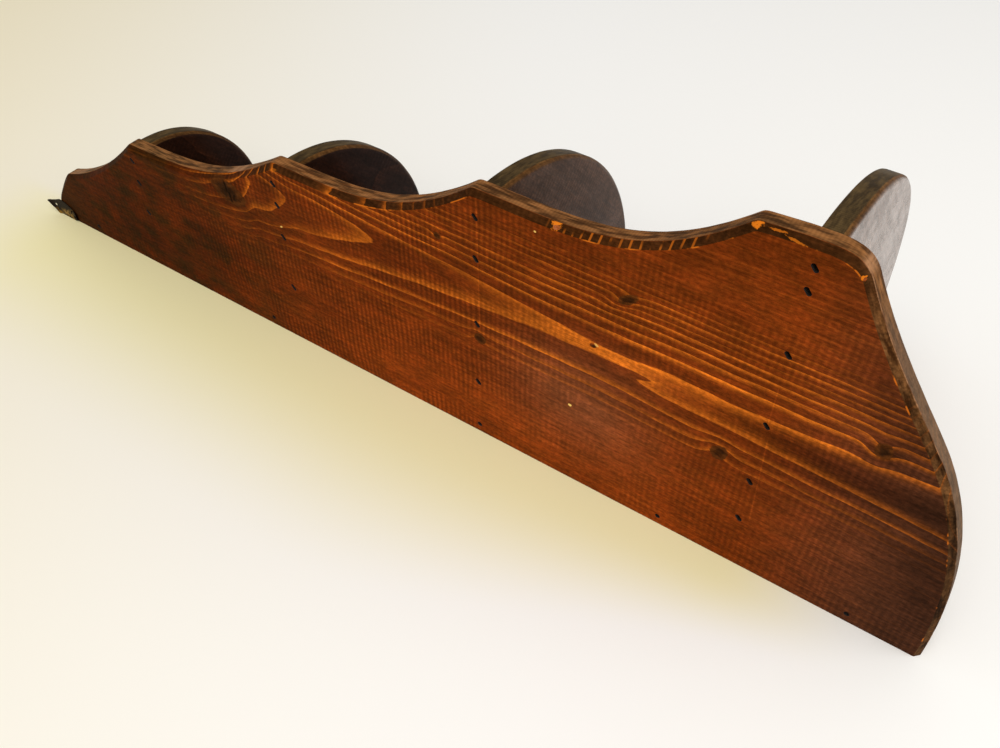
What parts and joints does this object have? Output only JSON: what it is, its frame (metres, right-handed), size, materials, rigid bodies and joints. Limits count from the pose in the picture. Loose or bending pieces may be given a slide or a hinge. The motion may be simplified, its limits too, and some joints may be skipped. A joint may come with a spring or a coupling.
{
  "type": "corner shelf",
  "caption": "Hanging corner shelf: two scalloped pine side boards at a right angle with graduated quarter-round shelves between them and a pierced brass hanger.",
  "frame": {"origin": "on the surface the shelf lies on, under the middle of its overall box", "axes": "+X along the seam from the narrow top end to the wide bottom end, so -X points up when it hangs; +Y from the left side board's outer face into the room; +Z up from the right side board's outer face as it lies on its side"},
  "size_m": [0.932, 0.307, 0.305],
  "materials": {
    "side_board_wood": "dark walnut-stained pine, glossy varnish",
    "shelf_wood": "dark walnut-stained pine, satin varnish",
    "nail_steel": "dull dark steel",
    "hanger_brass": "thin tarnished brass sheet"
  },
  "bodies": {
    "root": {"left_side_board": "side_board_wood", "right_side_board": "side_board_wood", "top_shelf": "shelf_wood", "second_shelf": "shelf_wood", "third_shelf": "shelf_wood", "bottom_shelf": "shelf_wood", "hanger_plate": "hanger_brass", "left_top_shelf_nail_1": "nail_steel", "left_top_shelf_nail_2": "nail_steel", "left_top_shelf_nail_3": "nail_steel", "left_second_shelf_nail_1": "nail_steel", "left_second_shelf_nail_2": "nail_steel", "left_second_shelf_nail_3": "nail_steel", "left_second_shelf_nail_4": "nail_steel", "left_third_shelf_nail_1": "nail_steel", "left_third_shelf_nail_2": "nail_steel", "left_third_shelf_nail_3": "nail_steel", "left_third_shelf_nail_4": "nail_steel", "left_bottom_shelf_nail_1": "nail_steel", "left_bottom_shelf_nail_2": "nail_steel", "left_bottom_shelf_nail_3": "nail_steel", "left_bottom_shelf_nail_4": "nail_steel", "left_bottom_shelf_nail_5": "nail_steel", "left_bottom_shelf_nail_6": "nail_steel", "right_top_shelf_nail_1": "nail_steel", "right_top_shelf_nail_2": "nail_steel", "right_top_shelf_nail_3": "nail_steel", "right_second_shelf_nail_1": "nail_steel", "right_second_shelf_nail_2": "nail_steel", "right_second_shelf_nail_3": "nail_steel", "right_second_shelf_nail_4": "nail_steel", "right_third_shelf_nail_1": "nail_steel", "right_third_shelf_nail_2": "nail_steel", "right_third_shelf_nail_3": "nail_steel", "right_third_shelf_nail_4": "nail_steel", "right_bottom_shelf_nail_1": "nail_steel", "right_bottom_shelf_nail_2": "nail_steel", "right_bottom_shelf_nail_3": "nail_steel", "right_bottom_shelf_nail_4": "nail_steel", "right_bottom_shelf_nail_5": "nail_steel", "right_bottom_shelf_nail_6": "nail_steel", "seam_nail_1": "nail_steel", "seam_nail_2": "nail_steel", "seam_nail_3": "nail_steel", "seam_nail_4": "nail_steel", "seam_nail_5": "nail_steel", "hanger_pin_1": "nail_steel", "hanger_pin_2": "nail_steel"}
  },
  "joints": []
}
